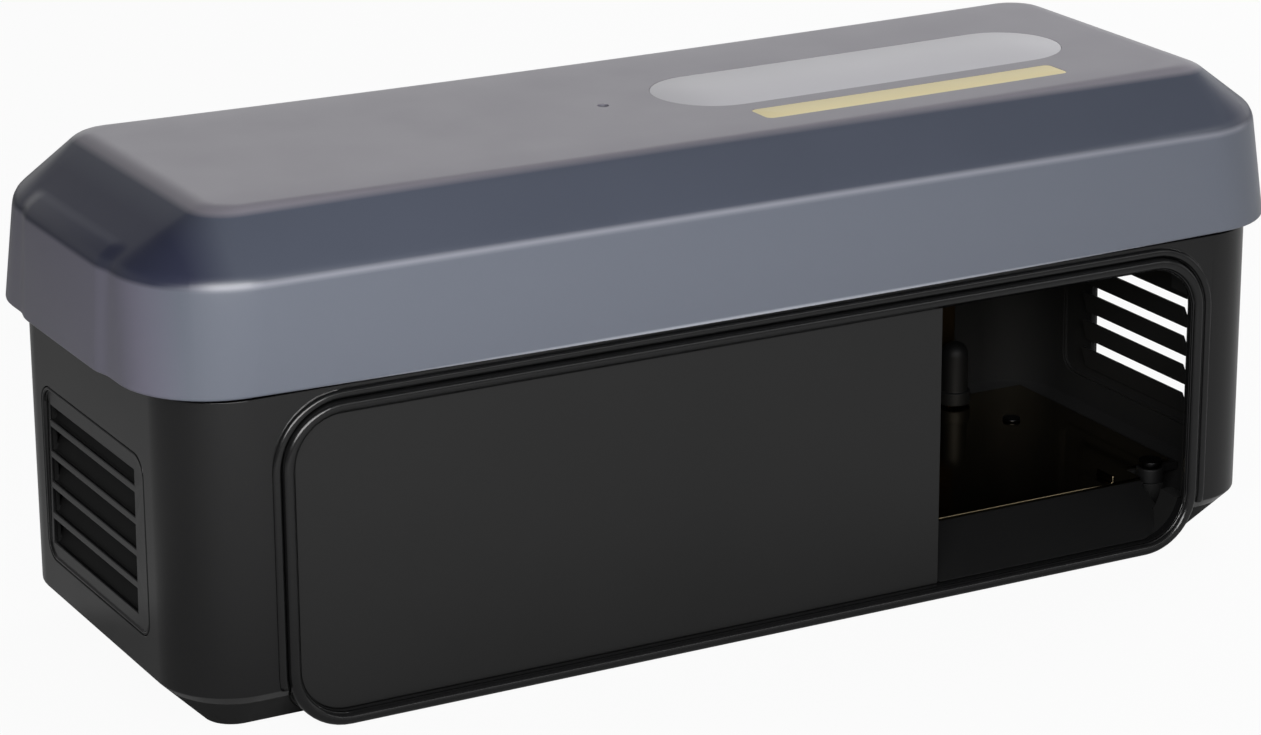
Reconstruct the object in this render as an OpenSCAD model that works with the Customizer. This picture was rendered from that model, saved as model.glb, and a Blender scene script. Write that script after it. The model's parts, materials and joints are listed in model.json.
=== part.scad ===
// Box rodent trap: a black moulded base with a framed side entry, end vents and
// metal floor plates, a deck that carries batteries and control unit, and a smoky
// lift-off lid whose skirt overlaps the base. Origin: centre of the footprint, on
// the surface that the feet stand on. +X runs along the length towards the entry
// end, +Y to the back, +Z up. Millimetres.

/* [Base] */
// Length of the base
base_l = 248; // [236:1:280]
// Depth of the base, front to back
base_d = 89; // [86:1:110]
// Height of the step on which the wall turns inwards below the lid
base_h = 69; // [68:0.5:80]
// Radius of the base's upright corners
corner_r = 15; // [13:0.5:18]
// Slope cut off all round the bottom edge
bottom_slope = 9.3; // [6:0.1:10]
// Thickness of the base's walls and floor
wall = 2.4; // [1.8:0.1:2.6]
// Height of the rim above the step
rim_rise = 7; // [5:0.5:9]
// How far the rim stands back from the wall's outer face
rim_inset = 2.2; // [1.8:0.1:3]
// Height that the feet lift the base
foot_h = 0.8; // [0.6:0.1:1.5]
// Diameter of a foot
foot_dia = 14; // [8:0.5:18]

/* [Front frame] */
// Length of the frame, along the crown of its rim
rim_l = 208; // [180:1:210]
// Height of the frame, along the crown of its rim
rim_h = 63.2; // [58:0.2:64]
// Corner radius of the rim's crown
rim_r = 11.5; // [9:0.5:16]
// Radius of the rim's round edge
rim_bead = 1.2; // [0.9:0.1:1.5]
// Depth of the frame along the base's bottom slope
frame_depth = 8.3; // [7:0.1:9]
// Shift of the frame's centre towards the entry end
frame_shift = 1.5; // [0:0.1:3]
// Radius of the bead on the base around the frame
bead_r = 0.9; // [0.6:0.1:1.1]
// Width of the entry
entry_w = 61; // [45:1:66]
// Recess of the front panel's face behind the base's front face
panel_recess = 1.2; // [0.6:0.1:3]
// Thickness of the front panel
panel_t = 2.2; // [1.6:0.1:3]

/* [Vents] */
// Width of a vent grille
vent_w = 53; // [46:0.5:56]
// Height of a vent grille
vent_h = 36.6; // [34:0.2:40]
// Height of the lower edge of the lowest slot
slot_z = 20.8; // [19:0.1:24]
// Number of slots
slots = 5; // [3:1:5]
// Distance from one slot to the next
slot_pitch = 6.5; // [6:0.1:6.8]
// Clear height of a slot
slot_h = 4.9; // [3:0.1:5]
// Clear height of the highest slot
top_slot_h = 3; // [2:0.1:3.4]
// Middle of a grille to its slots' front ends
slot_front = 19.2; // [15:0.1:22]
// Middle of the bait end's grille to its slots' back ends
slot_back = 25; // [18:0.1:25]
// Middle of the entry end's grille to its slots' back ends
entry_slot_back = 17; // [14:0.1:22]

/* [Floor plates] */
// Height of the plates' top face
plate_z = 11; // [10.6:0.1:13]
// Thickness of a metal plate
plate_t = 0.8; // [0.5:0.1:1.2]
// Gap between neighbouring plates
plate_gap = 3.4; // [2.5:0.1:5]
// Distance of the plates' front edge behind the base's front face
plate_front = 16.5; // [15:0.5:20]
// Diameter of the bait cup
cup_dia = 21; // [16:0.5:22]
// Height of the bait cup
cup_h = 9; // [7:0.5:12]

/* [Deck and power] */
// Thickness of the deck
deck_t = 2; // [1.6:0.1:2.4]
// Diameter of a battery cell
cell_dia = 26.2; // [22:0.1:26.4]
// Length of a battery cell
cell_l = 50; // [44:0.5:52]
// Height of the control cover above the deck
cover_h = 20.5; // [18:0.5:22]
// Length of the control cover
cover_l = 88; // [84:1:92]
// Depth of the control cover
cover_d = 52; // [48:1:58]
// Diameter of the power button
button_dia = 14; // [10:0.5:18]
// Travel of the power button
button_travel = 1.5; // [0.8:0.1:1.6]

/* [Lid] */
// How far the lid's lower edge stands out past each end of the base
lid_end_out = 5; // [3.5:0.1:7]
// How far the lid's lower edge stands out past the front and the back
lid_side_out = 2.2; // [1.8:0.1:3]
// Height of the skirt, lower edge to crease
skirt_h = 22; // [20:0.1:25]
// Height of the sloped band, crease to top
slope_h = 11.1; // [10.9:0.1:14]
// Length by which the sloped band draws in at each end
slope_end = 15.5; // [12:0.5:19]
// Length by which the sloped band draws in at the front and the back
slope_side = 11; // [8:0.2:14]
// Rise of the lid's ends above its middle
lid_bow = 1.1; // [0:0.1:2]
// Thickness of the lid
lid_wall = 1.8; // [1.4:0.1:2]
// Radius of the skirt's corners at its lower edge
lid_r = 18.7; // [16:0.1:21]
// Radius of the skirt's corners at the crease
crease_r = 22; // [18:0.5:24]
// Corner radius of the lid's flat top
top_r = 6; // [3:0.5:8]
// Width of the finger grip raised on each end of the skirt
grip_w = 47; // [30:1:60]
// Length of the clear window in the lid's top
window_l = 96; // [70:1:104]
// Width of the clear window
window_w = 26; // [18:0.5:28]
// Length of the coloured strip in the lid's top
strip_l = 72; // [50:1:80]
// Width of the coloured strip
strip_w = 7.8; // [5:0.2:8]

/* [Hidden] */
$fn = 64;

// Clearances
slip = 0.15;              // between a piece and the opening that it drops into
run = 0.08;               // between a moving round piece and its bore
eps = 0.01;               // faces that would otherwise coincide
over = 1;                 // a cut past the faces that it goes through
root = 1;                 // a solid's reach into the one that it grows from

// Base
front_y = -base_d / 2;
floor_z = foot_h + wall;
in_l = base_l - 2 * wall;
in_d = base_d - 2 * wall;
inner_slope = bottom_slope - wall / 2;
rim_t = 1.8;
rim_top = base_h + rim_rise;
rim_in_l = base_l - 2 * (rim_inset + rim_t);
rim_in_d = base_d - 2 * (rim_inset + rim_t);
rim_in_r = corner_r - rim_inset - rim_t;
block_l = 13;             // corner blocks that carry the deck
block_d = 11.5;
block_h = 13;
pilot_r = 1.3;            // bores that take the deck's screws
pilot_depth = 9;

// Feet
foot_sunk = 0.7;
foot_in_x = 4;            // bottom slope to a foot
foot_in_y = 3;
foot_x = base_l / 2 - bottom_slope - foot_dia / 2 - foot_in_x;
foot_y = base_d / 2 - bottom_slope - foot_dia / 2 - foot_in_y;

// Front frame
rim_z = 1.7;              // height of the rim's crown along the bottom
rim_mid = rim_z + rim_h / 2;
rim_out = 1.2;            // ring outside the crown
rim_in = 1.6;             // ring inside the crown
ring_l = rim_l + 2 * rim_out;
ring_h = rim_h + 2 * rim_out;
ring_r = rim_r + rim_out;
hole_l = rim_l - 2 * rim_in;
hole_h = rim_h - 2 * rim_in;
hole_r = rim_r - rim_in;
hole_left = frame_shift - hole_l / 2;
hole_right = frame_shift + hole_l / 2;
hole_bottom = rim_mid - hole_h / 2;
bead_gap = 2.4;           // crown of the rim to crown of the bead
hook_out = 1.5;           // snap hooks at the ends of the frame
hook_h = 9;
hook_t = 1.2;
hook_root = 1;            // its reach into the frame
sleeve = wall + slip + hook_t;   // frame's depth above the bottom slope
rebate = 1.6;             // seat behind the frame's lip that takes the panel
rebate_z = foot_h + bottom_slope + over;
entry_left = hole_right - entry_w;

// Vents: the grille leans back, deepest at its top
vent_foot = 3.4;          // grille's lower edge to the lowest slot
vent_head = 3;            // least room above the highest slot
vent_z = slot_z - vent_foot;
slots_fit = min(slots, 1 + floor((vent_h - vent_foot - vent_head - top_slot_h) / slot_pitch));
vent_y = 0.8;             // vent's middle behind the base's
vent_r = 4;
vent_border = 0.7;
vent_deep = 0.8;
vent_shallow = 0.3;
grille_t = 1.6;
blade_t = 0.9;            // louvre blades lean up and inwards behind the slots
blade_in = 3;             // outer face of the grille to a blade's tip
blade_rise = 4.5;         // slot's lower edge to a blade's tip
blade_over = 0.8;         // blade past a slot's ends
blade_root = 0.4;         // its reach into the bar below the slot
blade_seat = 0.4;
bar_least = 0.6;          // a bar's least height, at its inner face
slot_roof = min(0.55, (slot_pitch - slot_h - bar_least) / grille_t);  // rise inwards per mm

// Tray, plates and ramp, from the front face backwards
tray_top = plate_z - plate_t;
tray_t = 1.8;
tray_z = tray_top - tray_t;
tray_in = inner_slope - (tray_z - floor_z) + 0.2;   // clears the inner slope at the tray's height
tray_front = plate_front - 1;
tray_back = base_d - wall - tray_in;
tray_left = -base_l / 2 + wall + tray_in;
tray_right = -tray_left;
leg_t = 2;
leg_end = base_l / 2 - wall - inner_slope - 0.5;
leg_back = base_d - wall - inner_slope - 1.5;
notch_x = hole_right + 0.6;   // corner left free beside the ramp
notch_d = 7;
lug_r = 3;                // screw lug in that corner, and its twin at the far end's back
lug_x = notch_x + 4.8;
lug_y = front_y + tray_front + notch_d - lug_r + 0.5;
lug_top = plate_z + 0.6;
plate_edge = 1.6;         // tray left bare past the plates' ends and back
plate_back = tray_back - plate_edge;
cup_in = 5.5;             // tray's end to the bait cup
cup_apart = 5;            // bait cup to the first plate
cup_x = tray_left + cup_dia / 2 + cup_in;
plates_left = cup_x + cup_dia / 2 + cup_apart;
plates_right = tray_right - plate_edge;
plate_l = (plates_right - plates_left - 2 * plate_gap) / 3;
cup_wall = 1.4;
cup_floor = 1.2;
cup_sunk = 3.5;           // depth of the cup below the tray's top
cup_rim = 2;              // flange that rests on the tray
cup_rim_t = 1.2;
post_r = 3.2;             // posts under the plates' screws
screw_row = 45.2;         // plates' front edge to their screws
screw_apart = 34;
screw_r = 1.25;           // small screws through the plates
screw_head_r = 2;
screw_head_h = 0.7;
screw_end = 0.6;          // floor to the ends of the tray's and plates' screws
ramp_t = 1.6;
ramp_back = plate_front - 1.4;
ramp_right = hole_right - 0.9;
ramp_left = entry_left + 0.4;
ramp_lip = 2.4;           // flat underside of the ramp's front edge
ramp_foot = hole_bottom + slip + eps;
lead_w = 5;
lead_t = 0.6;
lead_foot = 6;
lead_in = 21.1;           // right edge of a plate to the middle of its lead
lead_out = 3;             // its end above the deck
clamp_r = 3.1;            // posts that clamp the leads' feet
clamp_z = 26;
clamp_foot = 3;
clamp_flange = 0.6;
tab_in = 7.6;             // free corner to the tab folded up at the entry plate's front
tab_l = 6;
tab_h = 1.4;

// Deck
deck_gap = 0.6;           // frame's top to the deck
deck_z = rim_mid + ring_h / 2 + deck_gap;
deck_top = deck_z + deck_t;
deck_l = rim_in_l - 2 * slip;
deck_d = rim_in_d - 2 * slip;
deck_r = rim_in_r - slip;
deck_screw_in = 1.2;      // its shift from the block's middle towards the trap's
deck_screw_x = base_l / 2 - wall - block_l / 2 - deck_screw_in;
deck_screw_y = base_d / 2 - wall - block_d / 2 - deck_screw_in;
deck_screw_r = 1.2;
deck_head_r = 2.6;
deck_head_h = 1.6;
lead_gap = 0.4;

// Battery tray
bay_t = 1.8;
cell_gap = 0.4;           // one cell to the next
cell_slack = 0.1;         // cell to the deck, and half its room below the door
bay_pitch = cell_dia + cell_gap;
bay_end = 5.5;            // room for the springs
pad_t = 0.5;
bay_l = 4 * bay_pitch + 2 * bay_t;
bay_d = cell_l + bay_end + pad_t + 2 * bay_t;
bay_in = 18;              // base's end to the battery tray
bay_x = -base_l / 2 + bay_in;
cell_z = deck_top + cell_dia / 2 + cell_slack;   // the cells lie on the deck
door_z = cell_z + cell_dia / 2 + 2 * cell_slack;
door_t = 1.1;
groove = 1;
groove_gap = 0.15;
rail_t = 0.7;
bay_top = door_z + door_t + groove_gap + rail_t;
grip_ribs = 6;            // grooves across the door for a fingertip
grip_rib_pitch = 3;
grip_rib_w = 1.2;
grip_rib_l = 24;
grip_rib_in = 22;
grip_rib_deep = 0.4;
nub_r = 3.4;
nub_h = 1.5;
pad_w = 10;
spring_r1 = 5.5;
spring_r2 = 3.5;
door_travel = 12;

// Control unit
cover_t = 1.8;
cover_gap = 1;            // open battery door to the cover
cover_x = bay_x + bay_l + door_travel + cover_gap;
cover_z = deck_top + cover_h;
board_in_l = 5;           // the cover's outside to the board
board_in_d = 4;
board_l = cover_l - 2 * board_in_l;
board_d = cover_d - 2 * board_in_d;
board_t = 1.6;
board_rise = 4;
board_z = deck_top + board_rise;
standoff_base = 0.8;      // solid foot below a standoff's bore
board_screw_l = 3.5;      // screw below the board
board_x = cover_x + (cover_l - board_l) / 2;
standoff_r = 2.6;
board_screw_in = 4;
board_head_h = 1.2;
button_in = 24.6;         // cover's entry end to the button
button_x = cover_x + cover_l - button_in;
button_r = button_dia / 2;
flange_t = 1.2;
flange_out = 1.6;
flange_slack = 0.1;       // flange to the cover's underside
flange_z = cover_z - cover_t - flange_t - flange_slack;
button_rise = 2;
stem_r = 2;
stem_slack = 0.3;         // pressed button's stem to the switch
switch_h = 5;
switch_w = 6.4;
switch_pin_r = 1.7;
switch_top = board_z + board_t + switch_h;
coil_l = 16;              // transformer: core and winding
coil_d = 14;
coil_h = 10;
coil_x = board_in_l + 5;
coil_y = 2 - board_d / 4;
wind_out = 2;
wind_z = 3;
wind_h = 4;
cap_r = 4;                // capacitor
cap_h = 11;
cap_x = board_in_l + 7;
cap_y = board_d / 2 - cap_r - 6;
lens_r = 2.5;
lens_in = 26.4;           // cover's other end to the lens
lens_x = cover_x + lens_in;
lens_rise = 0.6;
lens_flange = 1;

// Lid: each section is [draw-in at the ends, draw-in at the sides, height, corner radius]
lid_z = base_h + 0.2;
lid_l = base_l + 2 * lid_end_out;
lid_d = base_d + 2 * lid_side_out;
lid_top = lid_z + skirt_h + slope_h;
draft_end = 1.3;
draft_side = 1;
crease_soft = 0.14;       // share of each face taken by the rounding at the crease
top_soft = 0.14;          // share of the sloped band taken by the rounding at the top
top_flat = 2.5;           // reach of that rounding on the flat top
lid_edge = [0, 0, 0, lid_r];
lid_crease = [draft_end, draft_side, skirt_h, crease_r];
lid_brow = [draft_end + slope_end, draft_side + slope_side, skirt_h + slope_h, top_r];
lid_flat = lid_brow + [top_flat, top_flat, 0, 0];
arc_steps = 9;            // facets in a corner of a section
side_steps = 8;           // lengths into which a long side is divided to take the bow
half_n = 2 * (arc_steps + 1) + side_steps - 1;
ring_n = 2 * half_n;
grip_out = 1;
grip_over = 3.2;          // reach of the grip past the crease
grip_reach = 12;          // its reach into the lid
stop_w = 8;               // blocks inside the lid's ends that sit on the base's rim
stop_y = 22;
stop_h = 5;
stop_gap = 0.4;           // their reach short of the rim's inner face
stop_l = 20;
window_deep = 0.8;
window_x = 49;
strip_deep = 0.4;
strip_x = 48.3;
strip_y = -21.6;
mark_r = 1.2;             // gate mark in the lid's top
mark_deep = 0.4;
mark_x = -11.5;

// ---------- shapes ----------

// A flat rounded rectangle, centred
module round_rect(l, d, r) {
  square([l - 2 * r, d], center = true);
  square([l, d - 2 * r], center = true);
  for (x = [-1, 1], y = [-1, 1])
    translate([x * (l / 2 - r), y * (d / 2 - r)]) circle(r);
}

module round_block(l, d, r, z0, z1) {
  translate([0, 0, z0]) linear_extrude(z1 - z0) round_rect(l, d, r);
}

// A tub with upright rounded corners and a slope all round its bottom edge
module tub(l, d, r, slope, z0, z1) {
  h = z1 - z0;
  translate([0, 0, z0]) {
    for (x = [-1, 1], y = [-1, 1])
      translate([x * (l / 2 - r), y * (d / 2 - r), 0])
        rotate_extrude() polygon([[0, 0], [r - slope, 0], [r, slope], [r, h], [0, h]]);
    rotate([90, 0, 90]) translate([0, 0, r - l / 2]) linear_extrude(l - 2 * r) tub_outline(d, slope, h);
    rotate([90, 0, 0]) translate([0, 0, r - d / 2]) linear_extrude(d - 2 * r) tub_outline(l, slope, h);
  }
}

module tub_outline(w, slope, h) {
  polygon([[slope - w / 2, 0], [w / 2 - slope, 0], [w / 2, slope], [w / 2, h], [-w / 2, h], [-w / 2, slope]]);
}

// Extrudes an X-Z outline backwards from y0 to y1
module upright(y0, y1) {
  translate([0, y1, 0]) rotate([90, 0, 0]) linear_extrude(y1 - y0) children();
}

// Extrudes a Y-Z outline along X from x0 to x1
module lengthwise(x0, x1) {
  translate([x0, 0, 0]) rotate([90, 0, 90]) linear_extrude(x1 - x0) children();
}

// A round rod along a rounded rectangle that stands in the X-Z plane
module round_rail(l, h, r, rod) {
  for (z = [-1, 1])
    translate([0, 0, z * h / 2]) rotate([0, 90, 0]) cylinder(h = l - 2 * r, r = rod, center = true);
  for (x = [-1, 1])
    translate([x * l / 2, 0, 0]) cylinder(h = h - 2 * r, r = rod, center = true);
  for (i = [0:3])
    rotate([0, -90 * i, 0]) rail_corner(i % 2 == 0 ? l : h, i % 2 == 0 ? h : l, r, rod);
}

module rail_corner(l, h, r, rod) {
  translate([l / 2 - r, 0, h / 2 - r]) rotate([90, 0, 0])
    rotate_extrude(angle = 90) translate([r, 0]) circle(rod, $fn = 32);
}

// ---------- base ----------

module base_shell() {
  color("#1b1b1c") {
    difference() {
      union() {
        tub(base_l, base_d, corner_r, bottom_slope, foot_h, base_h);
        round_block(base_l - 2 * rim_inset, base_d - 2 * rim_inset, corner_r - rim_inset,
                    base_h - root, rim_top);
      }
      difference() {
        tub(in_l, in_d, corner_r - wall, inner_slope, floor_z, deck_z + eps);
        corner_blocks();
        tray_bosses();
      }
      round_block(rim_in_l, rim_in_d, rim_in_r, deck_z, rim_top + over);
      frame_opening();
      vent_openings();
      deck_pilots();
      foot_pockets();
      tray_pilots();
    }
    front_bead();
  }
}

module corner_blocks() {
  for (x = [-1, 1], y = [-1, 1])
    translate([x * (base_l - block_l) / 2, y * (base_d - block_d) / 2, deck_z - block_h / 2])
      cube([block_l + 2 * wall, block_d + 2 * wall, block_h], center = true);
}

module frame_opening() {
  translate([frame_shift, 0, rim_mid])
    upright(front_y - over, front_y + frame_depth + slip)
      round_rect(ring_l + 2 * slip, ring_h + 2 * slip, ring_r + slip);
}

module vent_openings() {
  for (x = [-1, 1])
    translate([x * base_l / 2, vent_y, vent_z + vent_h / 2]) rotate([90, 0, 90])
      linear_extrude(3 * wall, center = true)
        round_rect(vent_w + 2 * slip, vent_h + 2 * slip, vent_r + slip);
}

module deck_pilots() {
  for (x = [-1, 1], y = [-1, 1])
    translate([x * deck_screw_x, y * deck_screw_y, deck_z - pilot_depth])
      cylinder(h = pilot_depth + over, r = pilot_r);
}

// Bosses on the floor under the tray's lugs, and their bores
module tray_bosses() {
  tray_lugs(floor_z - root, tray_z, lug_r);
}

module tray_pilots() {
  tray_lugs(floor_z, tray_z + over, pilot_r);
}

module foot_pockets() {
  for (x = [-1, 1], y = [-1, 1])
    translate([x * foot_x, y * foot_y, 0]) cylinder(h = foot_h + foot_sunk, r = foot_dia / 2 + slip);
}

// The bead stops where the wall turns into the bottom slope
module front_bead() {
  difference() {
    translate([frame_shift, front_y, rim_mid])
      round_rail(rim_l + 2 * bead_gap, rim_h + 2 * bead_gap, rim_r + bead_gap, bead_r);
    translate([-base_l / 2, front_y - wall, -wall]) cube([base_l, 2 * wall, foot_h + bottom_slope + wall]);
    translate([-base_l / 2, front_y + wall / 2, 0]) cube([base_l, wall, base_h]);
  }
}

module feet() {
  color("#2a2a2a")
    for (x = [-1, 1], y = [-1, 1])
      translate([x * foot_x, y * foot_y, 0]) cylinder(h = foot_h + foot_sunk, r = foot_dia / 2);
}

// ---------- vents ----------

// depth of the grille's outer face behind the base's end face, at height z
function vent_depth(z) = vent_shallow + (vent_deep - vent_shallow) * (z - vent_z) / vent_h;

// One end's grille, drawn for the left end: outwards is -X
module vent_grille(back) {
  difference() {
    union() {
      intersection() {
        upright(-base_d / 2, base_d / 2) grille_panel();
        vent_outline(0, 2 * wall);
      }
      difference() {
        vent_outline(0, wall);
        vent_outline(vent_border, wall + over);
      }
    }
    for (i = [0:slots_fit - 1])
      slot(slot_z + i * slot_pitch, i == slots_fit - 1 ? top_slot_h : slot_h, back);
  }
  for (i = [0:slots_fit - 1]) blade(slot_z + i * slot_pitch, back);
}

module vent_outline(inset, depth) {
  translate([-base_l / 2, vent_y, vent_z + vent_h / 2]) rotate([90, 0, 90])
    linear_extrude(depth)
      round_rect(vent_w - 2 * inset, vent_h - 2 * inset, vent_r - inset);
}

module grille_panel() {
  polygon([
    [-base_l / 2 + vent_depth(vent_z), vent_z],
    [-base_l / 2 + vent_depth(vent_z + vent_h), vent_z + vent_h],
    [-base_l / 2 + vent_depth(vent_z + vent_h) + grille_t, vent_z + vent_h],
    [-base_l / 2 + vent_depth(vent_z) + grille_t, vent_z]
  ]);
}

// A slot's roof rises inwards, along the blades
module slot(z, height, back) {
  face = -base_l / 2 + vent_depth(z);
  deep = grille_t + over;
  upright(-slot_front, back)
    polygon([
      [face - wall, z], [face + deep, z], [face + deep, z + height + slot_roof * deep],
      [face, z + height], [face - wall, z + height]
    ]);
}

// The blade behind the slot whose lower edge is at z stands on the bar under that slot
module blade(z, back) {
  face = -base_l / 2 + vent_depth(z);
  inner = face + grille_t;
  upright(-slot_front - blade_over, back + blade_over)
    polygon([
      [inner - blade_root, z], [face + blade_in, z + blade_rise],
      [face + blade_in + blade_t, z + blade_rise],
      [inner + blade_t, z - blade_seat], [inner - blade_root, z - blade_seat]
    ]);
}

module left_vent_grille() { color("#202021") vent_grille(slot_back); }

module right_vent_grille() { color("#202021") mirror([1, 0, 0]) vent_grille(entry_slot_back); }

// ---------- front frame ----------

module front_frame() {
  color("#1e1e1f") {
    difference() {
      translate([frame_shift, 0, rim_mid])
        upright(front_y, front_y + frame_depth)
          difference() {
            round_rect(ring_l, ring_h, ring_r);
            round_rect(hole_l, hole_h, hole_r);
          }
      above_slope(front_y + sleeve, base_d) square([2 * base_l, 4 * base_h], center = true);
      above_slope(front_y + panel_recess, frame_depth)
        round_rect(hole_l + 2 * rebate, hole_h + 2 * rebate, hole_r + rebate);
    }
    translate([frame_shift, front_y, rim_mid]) round_rail(rim_l, rim_h, rim_r, rim_bead);
    frame_hooks();
  }
}

// Part of an outline in the frame's plane that lies above the bottom slope, run back from y
module above_slope(y, depth) {
  intersection() {
    translate([frame_shift, 0, rim_mid]) upright(y, y + depth) children();
    translate([-base_l, y - over, rebate_z]) cube([2 * base_l, depth + 2 * over, base_h]);
  }
}

module frame_hooks() {
  for (x = [-1, 1], z = [-1, 1])
    translate([frame_shift + x * (ring_l + hook_out - hook_root) / 2, front_y + wall + slip + hook_t / 2,
               rim_mid + z * rim_h / 4])
      cube([hook_out + hook_root, hook_t, hook_h], center = true);
}

module front_panel() {
  color("#2b2c2e")
    intersection() {
      union() {
        translate([frame_shift, 0, rim_mid])
          upright(front_y + panel_recess, front_y + panel_recess + panel_t)
            round_rect(hole_l, hole_h, hole_r);
        above_slope(front_y + panel_recess, panel_t)
          round_rect(hole_l + 2 * (rebate - slip), hole_h + 2 * (rebate - slip), hole_r + rebate - slip);
      }
      translate([-base_l / 2, front_y, 0]) cube([entry_left + base_l / 2, frame_depth, base_h]);
    }
}

// The ramp fits the frame's hole, with its rounded corner, and widens out behind it
module entry_ramp() {
  clear_y = front_y + frame_depth + slip;
  color("#242425")
    intersection() {
      lengthwise(ramp_left, ramp_right)
        translate([front_y, 0])
          polygon([
            [panel_recess, ramp_foot], [ramp_back, plate_z], [ramp_back, floor_z],
            [ramp_back - ramp_t, floor_z], [ramp_back - ramp_t, plate_z - 2 * ramp_t],
            [panel_recess + ramp_lip, ramp_foot]
          ]);
      union() {
        translate([frame_shift, 0, rim_mid])
          upright(front_y - over, clear_y + eps)
            round_rect(hole_l - 2 * slip, hole_h - 2 * slip, hole_r - slip);
        translate([-base_l / 2, clear_y, 0]) cube([base_l, base_d, base_h]);
      }
    }
}

// ---------- floor plates and bait ----------

module plate_tray() {
  color("#161616")
    difference() {
      union() {
        intersection() {
          notched(tray_left, tray_right, tray_front, tray_back, notch_d, tray_z, tray_t);
          round_block(2 * tray_right, in_d - 2 * tray_in, corner_r - wall - tray_in, tray_z, tray_top);
        }
        translate([-leg_end, front_y + tray_front, floor_z])
          cube([leg_end + notch_x, leg_t, tray_top - floor_z]);
        translate([-leg_end, front_y + leg_back - leg_t, floor_z])
          cube([2 * leg_end, leg_t, tray_top - floor_z]);
        for (i = [0:2], x = screw_xs(i))
          translate([x, screw_y, floor_z]) cylinder(h = tray_top - floor_z, r = post_r);
        tray_lugs(tray_z, lug_top, lug_r);
      }
      tray_lugs(floor_z, lug_top + over, deck_screw_r + run);
      translate([cup_x, 0, 0]) cylinder(h = plate_z, r = cup_dia / 2 + slip);
      for (i = [0:2], x = screw_xs(i))
        translate([x, screw_y, floor_z - over]) cylinder(h = plate_z, r = screw_r + run);
    }
}

// Cylinders at the two places where the tray is screwed down
module tray_lugs(z0, z1, r) {
  for (side = [-1, 1])
    translate([side * lug_x, side * lug_y, z0]) cylinder(h = z1 - z0, r = r);
}

// A flat plate whose front corner at the entry end is cut away
module notched(left, right, front, back, deep, z, t) {
  difference() {
    translate([left, front_y + front, z]) cube([right - left, back - front, t]);
    translate([notch_x, front_y + front - over, z - over]) cube([base_l, deep + over, t + 2 * over]);
  }
}

function plate_x(i) = plates_left + i * (plate_l + plate_gap);
function screw_xs(i) = [for (x = [-1, 1]) plate_x(i) + plate_l / 2 + x * screw_apart / 2];
function lead_x(i) = plate_x(i) + plate_l - lead_in;
screw_y = front_y + plate_front + screw_row;

module floor_plate(i) {
  difference() {
    notched(plate_x(i), plate_x(i) + plate_l, plate_front, plate_back, notch_d, tray_top, plate_t);
    for (x = screw_xs(i))
      translate([x, screw_y, tray_top - over]) cylinder(h = plate_t + 2 * over, r = screw_r + run);
  }
}

module rear_plate() { color("#b8b0a0") floor_plate(0); }

module middle_plate() { color("#b8b0a0") floor_plate(1); }

module entry_plate() {
  color("#b8b0a0") {
    floor_plate(2);
    translate([notch_x - tab_in, front_y + plate_front, tray_top]) cube([plate_t, tab_l, plate_t + tab_h]);
  }
}

module plate_screws() {
  color("#8c8c8c")
    for (i = [0:2], x = screw_xs(i)) {
      translate([x, screw_y, plate_z]) cylinder(h = screw_head_h, r = screw_head_r);
      translate([x, screw_y, floor_z + screw_end]) cylinder(h = plate_z - floor_z, r = screw_r);
    }
}

// Each plate's strip stands on the plate, runs up the back wall and through the deck
module plate_leads() {
  color("#c8a860")
    for (i = [0:2])
      translate([lead_x(i) - lead_w / 2, front_y + plate_back - lead_foot, plate_z]) {
        cube([lead_w, lead_foot, lead_t]);
        translate([0, lead_foot - lead_t, 0]) cube([lead_w, lead_t, deck_top - plate_z + lead_out]);
      }
}

// Round-topped posts stand on the leads' feet, in front of the strips
module lead_posts() {
  clamp_y = front_y + plate_back - lead_t - slip - clamp_r - clamp_flange;
  color("#1c1c1c")
    for (i = [0:2])
      translate([lead_x(i), clamp_y, plate_z + lead_t]) {
        cylinder(h = clamp_foot, r = clamp_r + clamp_flange);
        cylinder(h = clamp_z - plate_z - lead_t - clamp_r, r = clamp_r);
        translate([0, 0, clamp_z - plate_z - lead_t - clamp_r]) sphere(clamp_r, $fn = 32);
      }
}

module tray_screws() {
  color("#707070") {
    tray_lugs(lug_top, lug_top + deck_head_h, deck_head_r);
    tray_lugs(floor_z + screw_end, lug_top + eps, deck_screw_r);
  }
}

// Its flange rests on the tray
module bait_cup() {
  color("#3a3a3a")
    translate([cup_x, 0, tray_top - cup_sunk])
      difference() {
        union() {
          cylinder(h = cup_h, r = cup_dia / 2);
          translate([0, 0, cup_sunk]) cylinder(h = cup_rim_t, r = cup_dia / 2 + cup_rim);
        }
        translate([0, 0, cup_floor]) cylinder(h = cup_h, r = cup_dia / 2 - cup_wall);
      }
}

// ---------- deck ----------

module deck() {
  color("#1a1a1a")
    difference() {
      union() {
        round_block(deck_l, deck_d, deck_r, deck_z, deck_top);
        for (x = [0, 1], y = [-1, 1])
          translate([standoff_x(x), y * standoff_y, deck_z]) cylinder(h = board_z - deck_z, r = standoff_r);
      }
      for (x = [-1, 1], y = [-1, 1])
        translate([x * deck_screw_x, y * deck_screw_y, deck_z - over])
          cylinder(h = deck_t + 2 * over, r = pilot_r + run);
      for (i = [0:2])
        translate([lead_x(i) - lead_w / 2 - lead_gap, front_y + plate_back - lead_t - lead_gap,
                   deck_z - over])
          cube([lead_w + 2 * lead_gap, lead_t + 2 * lead_gap, deck_t + 2 * over]);
      for (x = [0, 1], y = [-1, 1])
        translate([standoff_x(x), y * standoff_y, deck_z + standoff_base])
          cylinder(h = board_z, r = screw_r + run);
    }
}

function standoff_x(i) = board_x + board_screw_in + i * (board_l - 2 * board_screw_in);
standoff_y = board_d / 2 - board_screw_in;

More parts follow.
